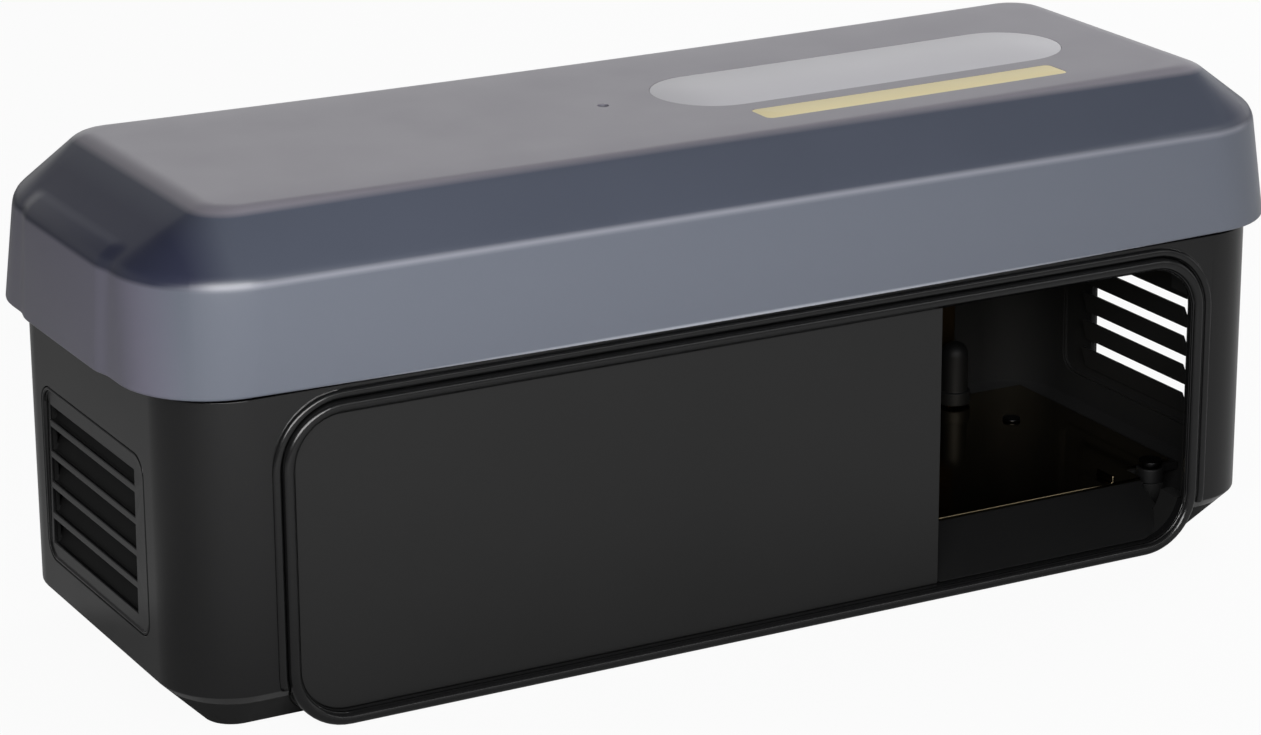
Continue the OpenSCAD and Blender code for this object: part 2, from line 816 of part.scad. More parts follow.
module deck_screws() {
  color("#707070")
    for (x = [-1, 1], y = [-1, 1])
      translate([x * deck_screw_x, y * deck_screw_y, deck_top]) {
        cylinder(h = deck_head_h, r = deck_head_r);
        translate([0, 0, -deck_t - pilot_depth + 1]) cylinder(h = deck_t + pilot_depth - 1, r = deck_screw_r);
      }
}

// ---------- batteries ----------

module battery_tray() {
  color("#262626")
    translate([bay_x, -bay_d / 2, 0])
      difference() {
        translate([0, 0, deck_top]) cube([bay_l, bay_d, bay_top - deck_top]);
        // the cells' room
        translate([bay_t, bay_t, deck_z]) cube([bay_l - 2 * bay_t, bay_d - 2 * bay_t, bay_top]);
        // grooves for the door, open at the right
        translate([bay_t - groove, bay_t - groove, door_z - groove_gap])
          cube([bay_l, bay_d - 2 * (bay_t - groove), door_t + 2 * groove_gap]);
        // the right wall ends below the door
        translate([bay_l - 2 * bay_t, -over, door_z - groove_gap])
          cube([3 * bay_t, bay_d + 2 * over, bay_top]);
      }
}

function cell_x(i) = bay_x + bay_t + bay_pitch * (i + 0.5);
cell_y1 = bay_d / 2 - bay_t;

// Neighbouring cells point opposite ways
function cell_way(i) = i % 2 == 0 ? 1 : -1;

module battery_cells() {
  color("#5a6068")
    for (i = [0:3])
      translate([cell_x(i), cell_way(i) * (cell_y1 - pad_t), cell_z]) rotate([90 * cell_way(i), 0, 0]) {
        cylinder(h = nub_h + eps, r = nub_r);
        translate([0, 0, nub_h]) cylinder(h = cell_l - nub_h, r = cell_dia / 2);
      }
}

module contact_pads() {
  color("#c0c0c0")
    for (i = [0:3])
      translate([cell_x(i), cell_way(i) * (cell_y1 - pad_t / 2), cell_z])
        cube([pad_w, pad_t, pad_w], center = true);
}

// A taper stands in for each wound spring
module contact_springs() {
  color("#c0c0c0")
    for (i = [0:3])
      translate([cell_x(i), -cell_way(i) * cell_y1, cell_z]) rotate([-90 * cell_way(i), 0, 0])
        cylinder(h = bay_end, r1 = spring_r1, r2 = spring_r2);
}

module battery_door() {
  tongue = groove - groove_gap;
  color("#2e2e2e")
    translate([bay_x, -bay_d / 2, door_z])
      difference() {
        translate([bay_t - tongue, bay_t - tongue, 0])
          cube([bay_l - bay_t + tongue, bay_d - 2 * (bay_t - tongue), door_t]);
        for (i = [0:grip_ribs - 1])
          translate([bay_l - grip_rib_in + grip_rib_pitch * i, (bay_d - grip_rib_l) / 2,
                     door_t - grip_rib_deep])
            cube([grip_rib_w, grip_rib_l, door_t]);
      }
}

// ---------- control unit ----------

module circuit_board() {
  color("#1f5a38")
    difference() {
      translate([board_x, -board_d / 2, board_z]) cube([board_l, board_d, board_t]);
      for (x = [0, 1], y = [-1, 1])
        translate([standoff_x(x), y * standoff_y, board_z - over])
          cylinder(h = board_t + 2 * over, r = screw_r + run);
    }
}

module board_screws() {
  color("#8c8c8c")
    for (x = [0, 1], y = [-1, 1])
      translate([standoff_x(x), y * standoff_y, board_z + board_t]) {
        cylinder(h = board_head_h, r = screw_head_r);
        translate([0, 0, -board_t - board_screw_l]) cylinder(h = board_t + board_screw_l, r = screw_r);
      }
}

module transformer() {
  color("#c9a227")
    translate([board_x + coil_x, coil_y - coil_d / 2, board_z + board_t]) {
      cube([coil_l, coil_d, coil_h]);
      translate([-wind_out, -wind_out, wind_z]) cube([coil_l + 2 * wind_out, coil_d + 2 * wind_out, wind_h]);
    }
}

module capacitor() {
  color("#34495e")
    translate([board_x + cap_x, cap_y, board_z + board_t]) cylinder(h = cap_h, r = cap_r);
}

module power_switch() {
  color("#303030")
    translate([button_x, 0, board_z + board_t]) {
      translate([-switch_w / 2, -switch_w / 2, 0]) cube([switch_w, switch_w, switch_h - 1]);
      cylinder(h = switch_h, r = switch_pin_r);
    }
}

module control_cover() {
  color("#222222")
    difference() {
      translate([cover_x, -cover_d / 2, deck_top]) cube([cover_l, cover_d, cover_h]);
      translate([cover_x + cover_t, -cover_d / 2 + cover_t, deck_top - over])
        cube([cover_l - 2 * cover_t, cover_d - 2 * cover_t, cover_h - cover_t + over]);
      translate([button_x, 0, cover_z - 2 * cover_t]) cylinder(h = 3 * cover_t, r = button_r + run);
      translate([lens_x, 0, cover_z - 2 * cover_t]) cylinder(h = 3 * cover_t, r = lens_r + run);
    }
}

module power_button() {
  stem_bottom = switch_top + button_travel + stem_slack;
  color("#c0392b")
    translate([button_x, 0, 0]) {
      translate([0, 0, flange_z]) cylinder(h = cover_z + button_rise - flange_z, r = button_r);
      translate([0, 0, flange_z]) cylinder(h = flange_t, r = button_r + flange_out);
      translate([0, 0, stem_bottom]) cylinder(h = flange_z - stem_bottom + root, r = stem_r);
    }
}

module indicator_lens() {
  color("#7fbf7f")
    translate([lens_x, 0, 0]) {
      translate([0, 0, cover_z - cover_t - lens_flange])
        cylinder(h = cover_t + lens_flange + lens_rise, r = lens_r);
      translate([0, 0, cover_z - cover_t - lens_flange])
        cylinder(h = lens_flange, r = lens_r + lens_flange);
    }
}

// ---------- lid ----------

// Point at share t of a rounding that leaves a towards corner b and arrives at c
function bend(a, b, c, t) = (1 - t) * (1 - t) * a + 2 * t * (1 - t) * b + t * t * c;
function between(a, b, t) = a + t * (b - a);

lid_sections = concat(
  [lid_edge],
  [for (t = [0:0.25:1])
    bend(between(lid_crease, lid_edge, crease_soft), lid_crease, between(lid_crease, lid_brow, crease_soft), t)],
  [for (t = [0:0.25:1])
    bend(between(lid_brow, lid_crease, top_soft), lid_brow, lid_flat, t)]
);

// Back half of a section's outline, from the right end to the left
function half_outline(l, d, r) = concat(
  [for (i = [0:arc_steps]) [l - r + r * cos(90 * i / arc_steps), d - r + r * sin(90 * i / arc_steps)]],
  [for (i = [1:side_steps - 1]) [(l - r) * (1 - 2 * i / side_steps), d]],
  [for (i = [0:arc_steps]) [r - l - r * sin(90 * i / arc_steps), d - r + r * cos(90 * i / arc_steps)]]
);

// A section's points, drawn in by skin and raised towards the ends
function lid_ring(s, skin) =
  let (
    back = half_outline(lid_l / 2 - s[0] - skin, lid_d / 2 - s[1] - skin, s[3] - skin),
    drop = s[2] > skirt_h / 2 ? skin : skin > 0 ? over : 0,
    flat = concat(back, [for (i = [half_n - 1:-1:0]) [back[i].x, -back[i].y]])
  )
  [for (p = flat) [p.x, p.y, lid_z + s[2] - drop + lid_bow * pow(2 * p.x / lid_l, 2)]];

// The lid's closed form, drawn in by skin on every side but the bottom, which it passes
module lid_form(skin) {
  last = len(lid_sections) - 1;
  polyhedron(
    points = [for (s = lid_sections) each lid_ring(s, skin)],
    faces = concat(
      [for (i = [0:half_n - 2]) [i, i + 1, ring_n - 2 - i, ring_n - 1 - i]],
      [for (k = [0:last - 1], i = [0:ring_n - 1], upper = [false, true])
        let (a = k * ring_n + i, b = k * ring_n + (i + 1) % ring_n)
          upper ? [a, a + ring_n, b + ring_n] : [a, b + ring_n, b]],
      [for (i = [0:half_n - 2])
        [for (j = [ring_n - 1 - i, ring_n - 2 - i, i + 1, i]) last * ring_n + j]]
    )
  );
}

module lid_shell() {
  color([0.42, 0.45, 0.52, 0.85]) {
    difference() {
      union() {
        lid_form(0);
        lid_grips();
      }
      difference() {
        lid_form(lid_wall);
        lid_stops();
      }
      difference() {
        window_block(slip);
        lid_form(window_deep);
      }
      difference() {
        strip_block(slip);
        lid_form(strip_deep);
      }
      translate([mark_x, 0, lid_top - mark_deep]) cylinder(h = lid_wall, r = mark_r);
    }
  }
}

// The lid's end profile moved outwards by the grip's height, over the grip's width
module lid_grips() {
  for (x = [-1, 1])
    translate([x * grip_out, 0, 0])
      intersection() {
        lid_form(0);
        translate([x * (lid_l / 2 - grip_reach / 2), 0, lid_z + (skirt_h + grip_over) / 2])
          cube([grip_reach, grip_w, skirt_h + grip_over], center = true);
      }
}

// The lid sits on the base's rim by blocks inside its two ends
module lid_stops() {
  for (x = [-1, 1], y = [-1, 1])
    translate([x * (rim_in_l / 2 + stop_gap), y * stop_y - stop_w / 2, rim_top])
      translate([x > 0 ? 0 : -stop_l, 0, 0]) cube([stop_l, stop_w, stop_h]);
}

// Upright blocks with the outlines of the window and the strip
module window_block(gap) {
  translate([window_x, 0, lid_top - 2 * lid_wall])
    linear_extrude(4 * lid_wall) round_rect(window_l + 2 * gap, window_w + 2 * gap, window_w / 2 - eps);
}

module strip_block(gap) {
  translate([strip_x, strip_y, lid_top - 2 * lid_wall])
    linear_extrude(4 * lid_wall) round_rect(strip_l + 2 * gap, strip_w + 2 * gap, strip_w / 5);
}

// Both follow the bow of the lid's top
module lid_window() {
  color([0.75, 0.78, 0.82, 0.8])
    difference() {
      intersection() {
        lid_form(0);
        window_block(0);
      }
      lid_form(window_deep);
    }
}

module lid_strip() {
  color("#e8dc9a")
    difference() {
      intersection() {
        lid_form(0);
        strip_block(0);
      }
      lid_form(strip_deep);
    }
}

base_shell();
left_vent_grille();
right_vent_grille();
front_frame();
front_panel();
entry_ramp();
plate_tray();
entry_plate();
middle_plate();
rear_plate();
plate_screws();
tray_screws();
plate_leads();
lead_posts();
bait_cup();
deck();
deck_screws();
battery_tray();
battery_cells();
contact_springs();
contact_pads();
battery_door();
circuit_board();
board_screws();
transformer();
capacitor();
power_switch();
control_cover();
power_button();
indicator_lens();
feet();
lid_shell();
lid_window();
lid_strip();
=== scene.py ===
"""Looks for a box rodent trap: a black framed base under a smoky lid.

The lid, its window, its strip and the battery springs are modelled here. Every other
solid is carried over, with its edges rounded by modifiers, and all get their materials.
Lengths are in metres, in the frame's axes: +X along the trap towards its entry, +Y to
the back and +Z up. A size that repeats one of the solids' own keeps its name here.
"""

import math

import bmesh
import bpy
from mathutils import Matrix, Vector
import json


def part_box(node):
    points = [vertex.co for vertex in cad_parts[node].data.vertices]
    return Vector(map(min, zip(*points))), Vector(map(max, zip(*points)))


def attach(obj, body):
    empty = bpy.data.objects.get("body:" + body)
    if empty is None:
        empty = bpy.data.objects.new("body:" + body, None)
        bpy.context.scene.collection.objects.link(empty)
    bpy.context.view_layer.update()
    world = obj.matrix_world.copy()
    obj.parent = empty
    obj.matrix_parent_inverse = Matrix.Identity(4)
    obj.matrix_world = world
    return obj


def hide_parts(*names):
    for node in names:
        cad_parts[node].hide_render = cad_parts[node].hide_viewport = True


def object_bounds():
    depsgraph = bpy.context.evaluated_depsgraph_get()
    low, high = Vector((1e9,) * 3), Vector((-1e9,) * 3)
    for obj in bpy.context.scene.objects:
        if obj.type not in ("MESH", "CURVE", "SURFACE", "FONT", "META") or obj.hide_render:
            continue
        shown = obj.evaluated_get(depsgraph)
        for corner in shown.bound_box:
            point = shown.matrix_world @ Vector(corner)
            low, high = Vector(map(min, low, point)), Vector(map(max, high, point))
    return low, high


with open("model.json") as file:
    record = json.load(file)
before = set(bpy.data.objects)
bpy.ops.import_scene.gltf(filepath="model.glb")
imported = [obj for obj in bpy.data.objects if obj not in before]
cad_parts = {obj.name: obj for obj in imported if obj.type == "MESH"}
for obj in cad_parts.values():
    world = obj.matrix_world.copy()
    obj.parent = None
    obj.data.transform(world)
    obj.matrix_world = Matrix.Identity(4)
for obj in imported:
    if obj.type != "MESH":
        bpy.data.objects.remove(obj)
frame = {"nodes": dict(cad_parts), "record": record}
cad_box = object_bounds()
scene = bpy.context.scene
MM = 0.001
TINY = 0.01 * MM  # keeps faces apart that would otherwise meet


# ---------- materials ----------


def linear(hex_colour):
    """Turns an sRGB hex value to linear RGBA."""
    parts = [int(hex_colour[i : i + 2], 16) / 255 for i in (1, 3, 5)]
    return (*(p / 12.92 if p <= 0.04045 else ((p + 0.055) / 1.055) ** 2.4 for p in parts), 1)


def add(tree, kind, inputs=None, **settings):
    """Adds a node; each input is a value, or the output that feeds it."""
    node = tree.nodes.new("ShaderNode" + kind)
    for name, value in settings.items():
        setattr(node, name, value)
    for name, value in (inputs or {}).items():
        if isinstance(value, bpy.types.NodeSocket):
            tree.links.new(value, node.inputs[name])
        else:
            node.inputs[name].default_value = value
    return node


def bare_material(name):
    """A new material without nodes, and its node tree."""
    material = bpy.data.materials.new(name)
    material.use_nodes = True
    material.node_tree.nodes.clear()
    return material, material.node_tree


MIX_A, MIX_B, MIXED = 6, 7, 2  # a colour mix's sockets
FLOW = 40 * MM  # clouds where the melt ran into the mould
HANDLING = 12 * MM  # patches that fingers and wiping leave in the gloss
GLOSS_SPREAD = 0.05  # how far those patches change the roughness, up and down

# Moulded plastics: name, darker and lighter colour, roughness, IOR, and the mould's
# grain with its relief in mm. The real grain is about 0.1 mm, too fine to show, so it
# is drawn three to six times as coarse. On film, tape, sleeve and board the grain is
# the waviness of what lies below, at its own size.
MOULDINGS = {
    # spark-eroded ABS: deep black whose satin sheen draws soft lines along each edge
    "base_plastic": ("satin_black_abs_with_painted_inner_shade", "#131313", "#171718", 0.21, 1.5, 0.35, 0.009),
    # finer ABS: a shade greyer and flatter than the frame round it
    "panel_plastic": ("fine_grained_abs", "#191919", "#1d1d1d", 0.36, 1.5, 0.3, 0.008),
    # polypropylene: dull, waxy black that swallows the light inside the trap
    "inner_plastic": ("black_polypropylene", "#080808", "#0b0b0c", 0.6, 1.45, 0.5, 0.012),
    # pigmented polypropylene: dark grey and waxy
    "cup_plastic": ("grey_polypropylene", "#363738", "#3e3f40", 0.48, 1.49, 0.5, 0.01),
    # printed film shrunk on a cell: smooth, slightly wavy slate
    "cell_case": ("cell_film", "#55606b", "#5f6a76", 0.25, 1.57, 2.5, 0.02),
    # polyester tape: glossy amber with the winding's ridges showing through
    "transformer_tape": ("polyester_tape", "#c39a26", "#d2ab34", 0.22, 1.64, 1.1, 0.03),
    # shrunk sleeve: glossy dark blue
    "capacitor_sleeve": ("shrunk_sleeve", "#2a3d55", "#30455f", 0.22, 1.54, 2.0, 0.01),
    # glass-filled nylon: flat black with a dry surface
    "switch_plastic": ("black_nylon", "#222222", "#292929", 0.5, 1.53, 0.4, 0.01),
    # polished ABS: clean red with a tight highlight
    "button_plastic": ("polished_red_abs", "#b3261f", "#bd2d25", 0.2, 1.53, 0.4, 0.002),
    # die-cut rubber sheet: dead flat and faintly dusty
    "foot_rubber": ("die_cut_rubber", "#242424", "#2b2b2b", 0.85, 1.52, 0.6, 0.02),
    # matt film on the lid: pale straw with a dry, paper-like face
    "strip_plastic": ("straw_film", "#eaddb0", "#f0e3b8", 0.55, 1.5, 0.4, 0.004),
    # frosted polycarbonate: the window reads as a pale, even field
    "window_plastic": ("frosted_polycarbonate", "#c9c8cd", "#d0cfd4", 0.42, 1.58, 0.4, 0.006),
    # clear acrylic, tinted green: bright and glassy
    "lens_plastic": ("green_acrylic", "#3f7a45", "#49854f", 0.08, 1.49, 0.4, 0.001),
    # solder mask over laminate: glossy green
    "board_laminate": ("solder_mask", "#1b5a36", "#226641", 0.22, 1.55, 1.5, 0.01),
}

# Inside the base's walls the black is darkened as painted shade for the dark tunnel, and the
# ABS is rougher there.
# A plan with rounded corners, just inside the base's outer faces, parts the two.
CORED = "satin_black_abs_with_painted_inner_shade"
CORE_IN_X = 1.2 * MM  # from the base's end faces
CORE_IN_Y = 2.1 * MM  # from its front and back
CORE_R = 14 * MM  # corners of the plan
CORE_PAINTED_SHADE = "#050505"
CORE_ROUGHER = 0.6  # added to the outer skin's roughness


def inside_walls(tree, place):
    """The output that is 1 inside the base's walls, and 0 in their outer skin."""
    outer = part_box("base_shell")[1]
    corner = (outer.x - CORE_IN_X - CORE_R, outer.y - CORE_IN_Y - CORE_R, 1)
    near = add(tree, "VectorMath", {0: place}, operation="ABSOLUTE")
    past = add(tree, "VectorMath", {0: near.outputs["Vector"], 1: corner}, operation="SUBTRACT")
    over = add(
        tree, "VectorMath", {0: past.outputs["Vector"], 1: (0, 0, 0)}, operation="MAXIMUM"
    )
    reach = add(tree, "VectorMath", {0: over.outputs["Vector"]}, operation="LENGTH")
    core = add(tree, "Math", {0: reach.outputs["Value"], 1: CORE_R}, operation="LESS_THAN")
    return core.outputs["Value"]


def moulding(name, dark, light, rough, ior, grain, relief):
    """A moulded plastic: flow clouds in its colour, uneven gloss and the mould's grain."""
    material, tree = bare_material(name)
    place = add(tree, "TexCoord").outputs["Object"]
    flow = add(tree, "TexNoise", {"Vector": place, "Scale": 1 / FLOW, "Detail": 3.0})
    colour = add(
        tree,
        "Mix",
        {0: flow.outputs["Fac"], MIX_A: linear(dark), MIX_B: linear(light)},
        data_type="RGBA",
    )
    touch = add(tree, "TexNoise", {"Vector": place, "Scale": 1 / HANDLING, "Detail": 4.0})
    gloss = add(
        tree,
        "MapRange",
        {
            "Value": touch.outputs["Fac"],
            "To Min": rough - GLOSS_SPREAD,
            "To Max": rough + GLOSS_SPREAD,
        },
    )
    paint, dullness = colour.outputs[MIXED], gloss.outputs["Result"]
    if name == CORED:
        # painted shade: inside the walls the black is darker, and the surface rougher
        core = inside_walls(tree, place)
        core_shaded = add(
            tree,
            "Mix",
            {0: core, MIX_A: paint, MIX_B: linear(CORE_PAINTED_SHADE)},
            data_type="RGBA",
        )
        dulled = add(
            tree, "Math", {0: core, 1: CORE_ROUGHER, 2: dullness}, operation="MULTIPLY_ADD"
        )
        paint, dullness = core_shaded.outputs[MIXED], dulled.outputs["Value"]
    pits = add(tree, "TexNoise", {"Vector": place, "Scale": 1 / (grain * MM), "Detail": 2.0})
    skin = add(
        tree, "Bump", {"Height": pits.outputs["Fac"], "Distance": relief * MM, "Strength": 1.0}
    )
    surface = add(
        tree,
        "BsdfPrincipled",
        {
            "Base Color": paint,
            "Roughness": dullness,
            "IOR": ior,
            "Normal": skin.outputs["Normal"],
        },
    )
    add(tree, "OutputMaterial", {"Surface": surface.outputs["BSDF"]})
    return material


# Metals: name, colour, colour where it has tarnished, roughness, and how far its marks
# are drawn out along X, Y and Z. Rolling lines are about 0.1 mm apart, drawn at 0.5 mm.
METALS = {
    # bright-annealed stainless sheet: mirrors the dark tunnel in a warm tone
    "plate_steel": ("rolled_stainless", "#b8a988", "#94856a", 0.1, (30, 1, 1)),
    # black-oxide steel: dark screws with a faint oily shine
    "screw_steel": ("black_oxide_steel", "#2b2b2c", "#222223", 0.35, (1, 1, 1)),
    # half-hard brass strip, darkened brown as painted shade of the dark tunnel: barely brighter
    # than what carries it
    "lead_brass": ("shade_darkened_brass", "#4a3b24", "#2c241a", 0.45, (1, 1, 30)),
    # bright nickel plate: smooth, faintly warm
    "contact_nickel": ("nickel_plate", "#d0ccc4", "#b9b4aa", 0.2, (1, 1, 1)),
}
LINES = 0.5 * MM
LINE_GLOSS = (-0.05, 0.08)  # what the lines take from the roughness and add to it
TARNISH = 25 * MM  # patches of tarnish


def metal(name, bright, dull, rough, along):
    """A rolled, drawn or plated metal: fine lines in its gloss and soft patches of tarnish."""
    material, tree = bare_material(name)
    place = add(tree, "TexCoord").outputs["Object"]
    drawn = add(tree, "Mapping", {"Vector": place, "Scale": tuple(1 / a for a in along)})
    lines = add(
        tree, "TexNoise", {"Vector": drawn.outputs["Vector"], "Scale": 1 / LINES, "Detail": 2.0}
    )
    patches = add(tree, "TexNoise", {"Vector": place, "Scale": 1 / TARNISH, "Detail": 4.0})
    colour = add(
        tree,
        "Mix",
        {0: patches.outputs["Fac"], MIX_A: linear(bright), MIX_B: linear(dull)},
        data_type="RGBA",
    )
    gloss = add(
        tree,
        "MapRange",
        {
            "Value": lines.outputs["Fac"],
            "To Min": rough + LINE_GLOSS[0],
            "To Max": rough + LINE_GLOSS[1],
        },
    )
    surface = add(
        tree,
        "BsdfPrincipled",
        {
            "Base Color": colour.outputs[MIXED],
            "Metallic": 1.0,
            "Roughness": gloss.outputs["Result"],
        },
    )
    add(tree, "OutputMaterial", {"Surface": surface.outputs["BSDF"]})
    return material


# The lid's polycarbonate is smoke-grey and lets some light through. Its tone is painted by
# place with light and shade: painted light in the thin skirt, a painted highlight along its
# lower lip and along the fold under the sloped band, painted shade in that deep blue-grey
# band, deepest at the two ends, and a lighter, warmer grey on the top as a painted sheen.
SMOKE_BAND_SHADE = ("#4d525f", "#565b69")
SMOKE_END_BAND_SHADE = "#33364a"
SMOKE_SKIRT_LIT = "#6d727e"
SMOKE_END_SKIRT_LIT = "#7a7888"
SMOKE_TOP_SHEEN = "#85828b"
SMOKE_LIP_HIGHLIGHT = "#c9ccd6"
SMOKE_FOLD_HIGHLIGHT = "#a3a5b0"
END_BAND_IN = (18 * MM, 10 * MM)  # from the lid's end: where the end band's deeper painted shade sets in
# from the lid's end: where the end skirt's own painted light sets in
END_SKIRT_IN = (8 * MM, 2 * MM)
FOLD_IN = (5 * MM, 14 * MM)  # from the lid's end: where the fold's painted highlight starts
FOLD_HIGHLIGHT_SHARE = 0.6  # share of the fold's painted highlight at its middle
FOLD_HALF = (0.9 * MM, 0.1 * MM)  # from the painted highlight's middle: its faint and its full part
FOLD_DOWN = 0.2 * MM  # the painted highlight's middle below the crease
SKIRT_DOWN = 1 * MM  # below the crease: where the skirt's painted light is full
TOP_DOWN = 0.8 * MM  # below the top: where its painted sheen sets in
LIP_UP = (0.9 * MM, 0.2 * MM)  # above the lower edge: where the lip's painted highlight sets in
SMOKE_ROUGH = (0.29, 0.37)
SMOKE_GRAIN = 0.4 * MM  # the real texture is about 0.1 mm, too fine to show
SMOKE_RELIEF = 0.006 * MM


def smoky_polycarbonate_with_painted_light(bottom, crease, brow, end):
    """The lid's moulded polycarbonate, with a fine matt texture and painted light and shade.

    It takes the heights of the lid's lower edge, crease and top, and its half length.
    """
    material, tree = bare_material("smoky_polycarbonate_with_painted_light")
    place = add(tree, "TexCoord").outputs["Object"]
    parts = add(tree, "SeparateXYZ", {"Vector": place})
    height = parts.outputs["Z"]
    along = add(tree, "Math", {0: parts.outputs["X"]}, operation="ABSOLUTE").outputs["Value"]

    cloud = add(tree, "TexNoise", {"Vector": place, "Scale": 1 / FLOW, "Detail": 3.0})
    # painted shade of the sloped band, deeper still towards the two ends
    side = add(
        tree,
        "Mix",
        {0: cloud.outputs["Fac"], MIX_A: linear(SMOKE_BAND_SHADE[0]), MIX_B: linear(SMOKE_BAND_SHADE[1])},
        data_type="RGBA",
    )
    end_band_shade_mask = add(
        tree,
        "MapRange",
        {"Value": along, "From Min": end - END_BAND_IN[0], "From Max": end - END_BAND_IN[1]},
    )
    band = add(
        tree,
        "Mix",
        {
            0: end_band_shade_mask.outputs["Result"],
            MIX_A: side.outputs[MIXED],
            MIX_B: linear(SMOKE_END_BAND_SHADE),
        },
        data_type="RGBA",
    )
    # painted light of the skirt, in a tone of its own at the two ends
    end_skirt_light_mask = add(
        tree,
        "MapRange",
        {"Value": along, "From Min": end - END_SKIRT_IN[0], "From Max": end - END_SKIRT_IN[1]},
    )
    wall = add(
        tree,
        "Mix",
        {
            0: end_skirt_light_mask.outputs["Result"],
            MIX_A: linear(SMOKE_SKIRT_LIT),
            MIX_B: linear(SMOKE_END_SKIRT_LIT),
        },
        data_type="RGBA",
    )
    skirt_light_mask = add(
        tree,
        "MapRange",
        {"Value": height, "From Min": crease, "From Max": crease - SKIRT_DOWN},
    )
    sides = add(
        tree,
        "Mix",
        {0: skirt_light_mask.outputs["Result"], MIX_A: band.outputs[MIXED], MIX_B: wall.outputs[MIXED]},
        data_type="RGBA",
    )
    # painted sheen: the top is made lighter than the band and the skirt
    top_sheen_mask = add(
        tree, "MapRange", {"Value": height, "From Min": brow - TOP_DOWN, "From Max": brow}
    )
    with_top_sheen = add(
        tree,
        "Mix",
        {0: top_sheen_mask.outputs["Result"], MIX_A: sides.outputs[MIXED], MIX_B: linear(SMOKE_TOP_SHEEN)},
        data_type="RGBA",
    )
    # painted highlight along the lower lip
    lip_highlight_mask = add(
        tree,
        "MapRange",
        {"Value": height, "From Min": bottom + LIP_UP[0], "From Max": bottom + LIP_UP[1]},
    )
    with_lip_highlight = add(
        tree,
        "Mix",
        {0: lip_highlight_mask.outputs["Result"], MIX_A: with_top_sheen.outputs[MIXED], MIX_B: linear(SMOKE_LIP_HIGHLIGHT)},
        data_type="RGBA",
    )

    # painted highlight along the fold below the crease, on the long sides only
    off = add(tree, "Math", {0: height, 1: crease - FOLD_DOWN}, operation="SUBTRACT")
    away = add(tree, "Math", {0: off.outputs["Value"]}, operation="ABSOLUTE")
    fold_highlight_along = add(
        tree,
        "MapRange",
        {
            "Value": along,
            "From Min": end - FOLD_IN[0],
            "From Max": end - FOLD_IN[1],
            "To Max": FOLD_HIGHLIGHT_SHARE,
        },
    )
    fold_highlight_mask = add(
        tree,
        "MapRange",
        {
            "Value": away.outputs["Value"],
            "From Min": FOLD_HALF[0],
            "From Max": FOLD_HALF[1],
            "To Max": fold_highlight_along.outputs["Result"],
        },
    )
    with_fold_highlight = add(
        tree,
        "Mix",
        {0: fold_highlight_mask.outputs["Result"], MIX_A: with_lip_highlight.outputs[MIXED], MIX_B: linear(SMOKE_FOLD_HIGHLIGHT)},
        data_type="RGBA",
    )

    touch = add(tree, "TexNoise", {"Vector": place, "Scale": 1 / HANDLING, "Detail": 4.0})
    gloss = add(
        tree,
        "MapRange",
        {"Value": touch.outputs["Fac"], "To Min": SMOKE_ROUGH[0], "To Max": SMOKE_ROUGH[1]},
    )
    pits = add(tree, "TexNoise", {"Vector": place, "Scale": 1 / SMOKE_GRAIN, "Detail": 2.0})
    skin = add(
        tree, "Bump", {"Height": pits.outputs["Fac"], "Distance": SMOKE_RELIEF, "Strength": 1.0}
    )
    surface = add(
        tree,
        "BsdfPrincipled",
        {
            "Base Color": with_fold_highlight.outputs[MIXED],
            "Roughness": gloss.outputs["Result"],
            "IOR": 1.58,
            "Normal": skin.outputs["Normal"],
        },
    )
    add(tree, "OutputMaterial", {"Surface": surface.outputs["BSDF"]})
    return material


# ---------- meshes ----------

SHARP_OVER = math.radians(32)  # edges that turn more than this show as edges


def loose_piece(name, bm):
    """Makes an object of a finished bmesh, in place as modelled."""
    mesh = bpy.data.meshes.new(name)
    bm.to_mesh(mesh)
    bm.free()
    made = bpy.data.objects.new(name, mesh)
    scene.collection.objects.link(made)
    return made


def piece(name, bm, body, slot, node):
    """Makes a smooth-shaded piece that rides on a body and stands for a node."""
    for face in bm.faces:
        face.smooth = True
    for edge in bm.edges:
        edge.smooth = len(edge.link_faces) < 2 or edge.calc_face_angle(0) < SHARP_OVER
    made = loose_piece(name, bm)
    made.data.materials.append(looks[slot])
    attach(made, body)
    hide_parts(node)


CORNER_STEPS = 14  # facets of a rounded corner


def rounded_face(bm, length, depth, radius, centre):
    """Adds a level face with rounded corners."""
    known = set(bm.faces)
    spread = Matrix.Translation(centre) @ Matrix.Diagonal((length, depth, 1, 1))
    grid = bmesh.ops.create_grid(bm, x_segments=1, y_segments=1, size=0.5, matrix=spread)
    bmesh.ops.bevel(
        bm,
        geom=grid["verts"],
        offset=radius,
        segments=CORNER_STEPS,
        affect="VERTICES",
        profile=0.5,
        material=-1,
    )
    return next(face for face in bm.faces if face not in known)


def slice_at(bm, normal, places):
    """Cuts edges across a mesh where planes with this normal meet it."""
    for place in places:
        bmesh.ops.bisect_plane(
            bm,
            geom=[*bm.verts, *bm.edges, *bm.faces],
            plane_co=Vector(normal) * place,
            plane_no=normal,
        )


def smooth_step(share):
    """Eases a share in and out, and keeps it between 0 and 1."""
    share = min(1, max(0, share))
    return share * share * (3 - 2 * share)


# ---------- lid ----------

